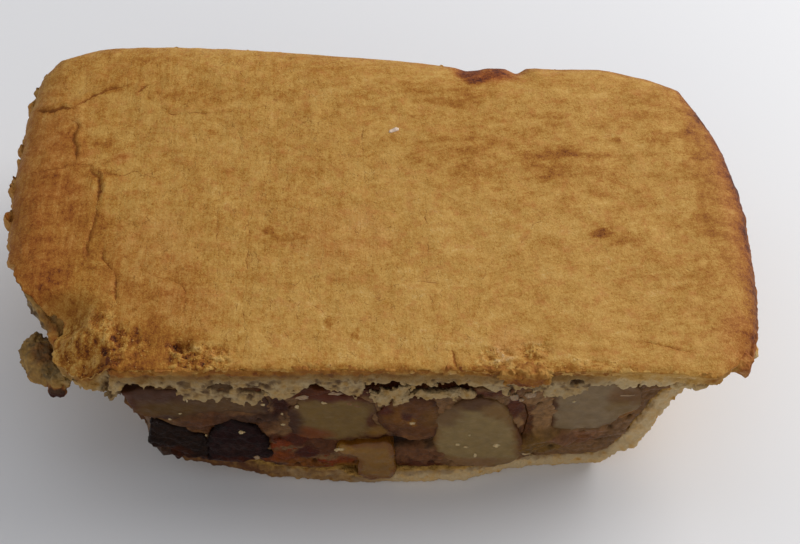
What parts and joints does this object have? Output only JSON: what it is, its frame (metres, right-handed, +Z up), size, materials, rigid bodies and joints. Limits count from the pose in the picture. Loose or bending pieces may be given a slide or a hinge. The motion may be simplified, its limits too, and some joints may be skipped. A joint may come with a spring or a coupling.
{
  "type": "meat and potato slice",
  "caption": "Cut half of a tray-baked meat and potato pie: browned short-crust lid over a shallow bowl of base crust with a chunky filling showing at the cut.",
  "frame": {"origin": "middle of the slice's bounding box, at the height of its underside", "axes": "+X along the cut, to the right when looking at the cut face; +Y from the cut face to the rounded back; +Z up"},
  "size_m": [0.1288, 0.0788, 0.0365],
  "materials": {
    "lid_pastry": "baked short crust, golden brown, dull with a faint sheen",
    "base_pastry": "baked short crust, pale tan, dull",
    "filling": "moist minced meat in thick gravy",
    "potato": "boiled potato, gravy-stained, moist",
    "dark_meat": "dark stewed meat, moist",
    "meat": "stewed meat, moist",
    "onion": "cooked onion, translucent, moist",
    "carrot": "cooked carrot, moist"
  },
  "bodies": {
    "root": {"lid": "lid_pastry", "base_crust": "base_pastry", "rim_lump": "base_pastry", "filling": "filling", "potato_left": "potato", "potato_middle": "potato", "potato_round": "potato", "potato_right": "potato", "dark_meat_round": "dark_meat", "dark_meat_strip": "dark_meat", "onion_piece": "onion", "meat_fold": "meat", "carrot_left": "carrot", "carrot_right": "carrot"}
  },
  "joints": []
}
